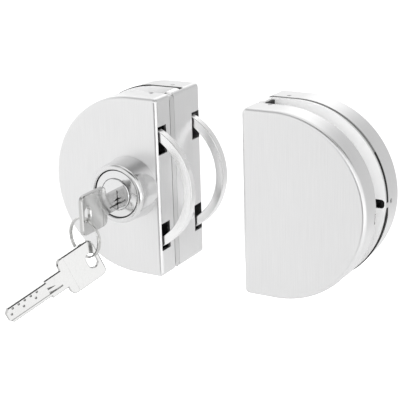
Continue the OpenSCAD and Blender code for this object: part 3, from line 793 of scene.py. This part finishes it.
def makeBolt(node, y0, armFrom, hubs):
    r = (bolt["inner"] + bolt["outer"]) / 2
    path = []
    for i in range(bolt["steps"] + 1):
        a = rad(-bolt["low"] + (bolt["low"] + bolt["high"]) * i / bolt["steps"])
        path.append((lockCase["axis"] + r * math.cos(a), y0 + bolt["wide"] / 2, r * math.sin(a)))
    sizes = {"Across": bolt["wide"] * mm, "Thick": (bolt["outer"] - bolt["inner"]) * mm,
             "Edge": bolt["edge"] * mm}
    ring = growFrom(node + "_bar", path, sweepTree, sizes, "boltSteel")
    cleanMesh(ring)
    smoothFaces(ring)
    bakeModifiers(ring)
    halfArm = bolt["armWide"] / 2
    points, faces = block((armFrom, y0, -halfArm), (r - bolt["armLap"], y0 + bolt["wide"], halfArm))
    turn = Matrix.Rotation(-rad(bolt["high"] - bolt["armBack"]), 4, "Y")
    turn = Matrix.Translation((lockCase["axis"], 0, 0)) @ turn
    carrier = makePiece(node + "_carrier", [turn @ Vector(p) for p in points], faces)
    for profile in hubs:
        combine(carrier, [turnedForm(profile, steps=96)], "UNION")
    softenEdges(carrier, bolt["softEdge"], angle=50)
    bakeModifiers(carrier)
    wear(carrier, "boltSteel")
    with bpy.context.temp_override(active_object=ring, selected_editable_objects=[ring, carrier]):
        bpy.ops.object.join()
    wear(ring, "boltSteel")
    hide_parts(node)
    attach(ring, "rotor")


makeBolt("front_ring_bolt", bolt["frontY"], bolt["frontArm"], frontHubs())
makeBolt("rear_ring_bolt", bolt["rearY"], bolt["rearArm"], rearHubs())
print("ring bolts done")

# Keys: the blade points along +Y from the stop at y = 0
key = {
    "thick": 2.6, "bow": 23.3, "bowHigh": 22.4, "bowCorner": 3.6, "shoulder": 10.0, "shoulderHigh": 11.2,
    "blade": 26.0, "bladeHigh": 8.8, "tip": 2.2, "edge": 0.6, "sideEdge": 0.42, "leastMitre": 0.35,
    "holeLong": 8.4, "holeWide": 5.4, "holeEnd": 5.0, "holeEdge": 0.38,
    "line": {"in": 4.3, "wide": 0.6, "deep": 0.15, "high": 12.0},
    "track": {"in": 1.6, "wide": 1.0, "deep": 0.5, "from": 2.0},
    "dips": {"first": 6.0, "step": 3.8, "high": 3.0, "highCount": 5, "low": 0.4, "lowCount": 3, "mouth": 0.9,
             "floor": 0.4, "deep": 0.6, "above": 0.4},
    "notches": [[(0.3, 1.5), (0.3, 0), (-4.6, 0)], [(0.3, -1), (0.3, -2.8), (-4.6, -2.4)]],
    "notchDeep": 1.1, "notchFrom": -5.0, "notchTo": 0.3, "notchHigh": 3.0, "painted": 0.02,
}


def edgedLoops(outline):
    # the outline in Y and Z with a flat slant along both faces
    t, edge, sideEdge = key["thick"] / 2, key["edge"], key["sideEdge"]
    n = len(outline)
    normals = []
    for i in range(n):
        p, q, s = (Vector(outline[j % n]) for j in (i - 1, i, i + 1))
        a, b = (q - p).normalized(), (s - q).normalized()
        na, nb = Vector((a.y, -a.x)), Vector((b.y, -b.x))
        m = (na + nb).normalized()
        normals.append(m / max(m.dot(na), key["leastMitre"]))
    rings = []
    for x, inset in ((-t, edge), (sideEdge - t, 0), (t - sideEdge, 0), (t, edge)):
        rings.append([(x, p[0] - m.x * inset, p[1] - m.y * inset) for p, m in zip(outline, normals)])
    return rings


def arcPoints(cy, cz, r, first, last, steps=8):
    # points in Y and Z round a centre, between two angles in degrees
    return [(cy + r * math.cos(rad(first + (last - first) * i / steps)),
             cz + r * math.sin(rad(first + (last - first) * i / steps))) for i in range(steps + 1)]


def keyOutline():
    k = key
    y0, y1, c = -k["shoulder"] - k["bow"], -k["shoulder"], k["bowCorner"]
    h, s, b = k["bowHigh"] / 2, k["shoulderHigh"] / 2, k["bladeHigh"] / 2
    end, tip = k["blade"], k["tip"]
    outline = [(end, -b + tip), (end, b - tip), (end - tip, b), (0, b), (0, s), (y1, s)]
    outline += arcPoints(y1 - c, h - c, c, 0, 90) + arcPoints(y0 + c, h - c, c, 90, 180)
    outline += arcPoints(y0 + c, -h + c, c, 180, 270) + arcPoints(y1 - c, -h + c, c, 270, 360)
    return outline + [(y1, -s), (0, -s), (0, -b), (end - tip, -b)]


def keyHole():
    # a slot-shaped hole, its mouths slanted as the edge is
    k = key
    centre, r = -k["shoulder"] - k["bow"] + k["holeEnd"], k["holeWide"] / 2
    half, t, mouth = (k["holeLong"] - k["holeWide"]) / 2, k["thick"] / 2, k["holeEdge"]
    right = [(t - mouth, 0), (t, mouth), (t + past / 2, mouth)]
    rings = []
    for x, grow in [(-x, grow) for x, grow in right[::-1]] + right:
        upper = arcPoints(centre, half, r + grow, 0, 180, steps=20)
        lower = arcPoints(centre, -half, r + grow, 180, 360, steps=20)
        rings.append([(x, y, z) for y, z in upper + lower])
    return loft(rings)


def dipPlaces():
    # a row of dips along the upper edge, and a sparser row half a step on
    d = key["dips"]
    upper = [(d["first"] + d["step"] * i, d["high"]) for i in range(d["highCount"])]
    return upper + [(d["first"] + d["step"] * (2 * i + 0.5), d["low"]) for i in range(d["lowCount"])]


def faceCutters(side):
    # what is sunk in one face: the line across the bow, the blade's track and the dips
    line, track, dips, t = key["line"], key["track"], key["dips"], key["thick"] / 2
    lineEnd, low = -key["shoulder"] - line["in"], -key["bladeHigh"] / 2 + track["in"]
    bars = [((t - line["deep"], lineEnd - line["wide"], -line["high"]), (t + past, lineEnd, line["high"])),
            ((t - track["deep"], -key["shoulder"] + track["from"], low),
             (t + track["deep"], key["blade"] + past, low + track["wide"]))]
    cutters = []
    for near, far in bars:
        xs = sorted((side * near[0], side * far[0]))
        cutters.append(block((xs[0], *near[1:]), (xs[1], *far[1:])))
    for y, z in dipPlaces():
        ends = [(side * x, y, z) for x in (t - dips["deep"], t + dips["above"])]
        cutters.append(rod(*ends, dips["floor"], dips["mouth"], steps=20))
    return cutters


def notchCutter(side, notch):
    t = key["thick"] / 2
    return loft([[(side * x, y, z) for y, z in notch] for x in (t - key["notchDeep"], t + past)])


def paintKey(obj, notchShade):
    # the sunk faces of the notches and the dips are painted darker than the key: painted shade in these
    # recesses
    finishNames = ["keyMetal", "keyCut", "keyDip"]
    wear(obj, *finishNames)
    spots = dipPlaces()
    for face in obj.data.polygons:
        x, y, z = face.center / mm
        finish = "keyMetal"
        if abs(x) < key["thick"] / 2 - key["painted"]:
            if key["notchFrom"] < y < key["notchTo"] and abs(z) < key["notchHigh"]:
                # the notches get painted shade
                finish = notchShade
            elif any(math.hypot(y - py, z - pz) < key["dips"]["mouth"] for py, pz in spots):
                # the dips get painted shade
                finish = "keyDip"
        face.material_index = finishNames.index(finish)


def makeKey(node, body, matrix, notchShade):
    obj = makePiece(node + "_blank", *loft(edgedLoops(keyOutline())))
    combine(obj, [keyHole()])
    combine(obj, faceCutters(-1) + faceCutters(1))
    combine(obj, [notchCutter(side, notch) for notch in key["notches"] for side in (-1, 1)])
    paintKey(obj, notchShade)
    moveMesh(obj, matrix)
    smoothFaces(obj, angle=25)
    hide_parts(node)
    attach(obj, body)


# the second key hangs by its hole from the split ring
secondKey = {"hole": (-17.4, -67.7, -28.4), "turn": (-25, 23, 140), "twist": -20}
inPlug = Matrix.Translation((lockCase["axis"], cylinder["plugY"], -cylinder["keyDrop"]))
holeToOrigin = Matrix.Translation((0, key["shoulder"] + key["bow"] - key["holeEnd"], 0))
hanging = Euler([rad(a) for a in secondKey["turn"]]).to_matrix().to_4x4()
hanging = Matrix.Translation(secondKey["hole"]) @ hanging @ Matrix.Rotation(rad(secondKey["twist"]), 4, "Y")
makeKey("key_1", "key_in_lock", inPlug, "keyCut")
makeKey("key_2", "hanging_key", hanging @ holeToOrigin, "keyDip")

# Split ring: two flat coils of one wire, with the step from coil to coil
splitRing = {
    "radius": 10.9, "wire": 1.1, "wireEdge": 0.34, "coilPress": 0.98, "start": 50.0, "step": 34.0,
    "steps": 220, "centre": (-20.85, -67.3, -16.2), "turn": -11.5,
}


def makeSplitRing():
    # nearly two turns, with a smooth step of one wire's thickness between them
    r, w = splitRing["radius"], splitRing["wire"]
    total = 720 - splitRing["step"]
    path = []
    for i in range(splitRing["steps"] + 1):
        a = total * i / splitRing["steps"]
        t = min(max((a - 360 + splitRing["step"]) / splitRing["step"], 0), 1)
        z = w / 2 * (2 * t * t * (3 - 2 * t) - 1)
        b = rad(a + splitRing["start"])
        path.append((r * math.cos(b), r * math.sin(b), z))
    sizes = {"Across": w * mm, "Thick": w * splitRing["coilPress"] * mm, "Edge": splitRing["wireEdge"] * mm}
    obj = growFrom("key_ring_wire", path, sweepTree, sizes, "ringWire")
    cleanMesh(obj)
    upright = Matrix.Rotation(rad(splitRing["turn"]), 4, "Z") @ Matrix.Rotation(rad(90), 4, "X")
    moveMesh(obj, Matrix.Translation(splitRing["centre"]) @ upright)
    smoothFaces(obj, angle=50)
    wear(obj, "ringWire")
    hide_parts("key_ring")
    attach(obj, "split_ring")


makeSplitRing()
print("keys done")

# The CAD's own pieces that stay, with their finishes
keptFinish = {
    "front_base": "frontPlate", "rear_base": "rearPlate", "front_pad": "glassPad", "rear_pad": "glassPad",
    "bridge": "rearPlate", "edge_strips": "blackRubber",
    "clamp_screws": "innerSteel", "key_pins": "pinBrass", "driver_pins": "innerSteel",
    "pin_springs": "ringWire", "plug_clip": "innerSteel",
    "spindle": "innerSteel", "spindle_screw": "innerSteel", "front_bush": "pinBrass", "rear_bush": "pinBrass",
}
for name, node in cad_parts.items():
    if node.hide_render:
        continue
    kind = name.replace("lock_", "").replace("keeper_", "")
    wear(node, keptFinish[kind])
print("kept pieces done")

# Studio: a pale floor in bright surroundings, with soft fields, darker or brighter, that the steel picks up
studio = {
    "floorZ": -0.17, "floorSize": 0.3, "floorTone": 0.72, "floorRough": 0.9, "floorGlow": 0.0,
    "bright": 1.0, "seen": 0.3, "matt": 0.4,
    # each field's aim, its inner and outer angle in degrees, and its depth
    "fields": {
        "front": ((0.06, -0.97, -0.2), 6, 20, 0.8),
        "frontRight": ((0.45, -0.83, -0.3), 8, 28, 0.45),
        "frontAbove": ((0.1, -0.6, 0.79), 9, 22, 0.85),
        "frontSide": ((0.54, -0.83, 0.08), 5, 18, -0.6),
        "guardTop": ((-0.45, -0.66, 0.6), 8, 22, 0.22),
        "topBehind": ((-0.53, 0.84, 0.16), 9, 16, 0.3),
        "besideKeeper": ((-0.76, 0.6, 0.2), 6, 18, -1.4),
        "behindRight": ((0.42, 0.83, 0.1), 20, 42, 0.33),
        "aboveRight": ((0.6, 0.35, 0.62), 6, 26, 0.85),
        "behindLeft": ((-0.3, 0.83, 0.48), 8, 25, -0.3),
        "keyEdge": ((0.49, -0.37, 0.79), 9, 19, 0.95),
        "keySide": ((-0.78, 0.47, 0.42), 5, 15, 0.35),
        "above": ((-0.45, -0.28, 0.82), 8, 24, 0.55),
        "keyFace": ((0.96, -0.17, -0.21), 7, 15, -0.5),
    },
}


def makeFloor():
    # the floor glows as brightly as the background, so that the picture is one pale field
    s, z = studio["floorSize"], studio["floorZ"]
    mesh = bpy.data.meshes.new("floor")
    mesh.from_pydata([(-s, -s, z), (s, -s, z), (s, s, z), (-s, s, z)], [], [(0, 1, 2, 3)])
    floor = newObject("floor", mesh)
    material = bpy.data.materials.new("paleFloor")
    material.use_nodes = True
    tree = material.node_tree
    path = newNode(tree, "ShaderNodeLightPath", {})
    glow = scaled(tree, path.outputs["Is Camera Ray"], studio["floorGlow"], 1 + studio["seen"])
    setInputs(tree, tree.nodes["Principled BSDF"], {
        "Base Color": [studio["floorTone"]] * 3, "Roughness": studio["floorRough"], "Specular IOR Level": 0.0,
        "Emission Color": (1, 1, 1), "Emission Strength": glow})
    mesh.materials.append(material)


def makeSurroundings():
    # each field fades from its aim outwards: a positive depth darkens, a negative one brightens
    world = bpy.data.worlds.new("studio")
    bpy.context.scene.world = world
    world.use_nodes = True
    tree = world.node_tree
    direction = newNode(tree, "ShaderNodeTexCoord", {}).outputs["Generated"]
    path = newNode(tree, "ShaderNodeLightPath", {}).outputs
    level = studio["bright"]
    for aim, inner, outer, depth in studio["fields"].values():
        near = newNode(tree, "ShaderNodeVectorMath", {0: direction, 1: Vector(aim).normalized()},
                       operation="DOT_PRODUCT")
        fade = newNode(tree, "ShaderNodeMapRange", {
            "Value": near.outputs["Value"], "From Min": math.cos(rad(outer)),
            "From Max": math.cos(rad(inner)), "To Max": depth}, interpolation_type="SMOOTHSTEP")
        level = mathNode(tree, "SUBTRACT", level, fade.outputs["Result"])
    softer = mathNode(tree, "MULTIPLY", path["Is Diffuse Ray"], studio["matt"])
    seen = mathNode(tree, "MULTIPLY", path["Is Camera Ray"], 1 + studio["seen"])
    level = mathNode(tree, "MAXIMUM", mathNode(tree, "ADD", level, softer), seen)
    setInputs(tree, tree.nodes["Background"], {"Color": (1, 1, 1), "Strength": level})


lamps = {
    "sideLamp": {"place": (0.78, -0.8, -0.3), "size": 0.3, "power": 0.6, "gleam": True},
    "slotLamp": {"place": (0.3, -0.7, 0.8), "size": 0.5, "power": 2.6, "gleam": False},
}


def makeLamps():
    for name, lamp in lamps.items():
        data = bpy.data.lights.new(name, "AREA")
        data.energy, data.size = lamp["power"], lamp["size"]
        obj = newObject(name, data)
        obj.location, obj.visible_glossy = lamp["place"], lamp["gleam"]
        obj.rotation_euler = (-Vector(lamp["place"])).to_track_quat("-Z", "Y").to_euler()


# The photograph's camera: place in metres, then turn, tilt and roll in degrees
viewpoint = {"place": (0.32164, -0.53681, 0.18853), "angles": (29.95, 72.19, -1.72), "lens": 102.8,
             "sensor": 36.0, "nearest": 0.01}


def makeCamera():
    data = bpy.data.cameras.new("camera")
    data.lens, data.sensor_width = viewpoint["lens"], viewpoint["sensor"]
    data.clip_start = viewpoint["nearest"]
    camera = newObject("camera", data)
    turn, tilt, roll = (rad(a) for a in viewpoint["angles"])
    camera.matrix_world = (Matrix.Translation(viewpoint["place"]) @ Matrix.Rotation(turn, 4, "Z")
                           @ Matrix.Rotation(tilt, 4, "X") @ Matrix.Rotation(roll, 4, "Z"))
    bpy.context.scene.camera = camera


bpy.context.scene.view_settings.view_transform = "Standard"
makeFloor()
makeSurroundings()
makeLamps()
makeCamera()
print("studio done")
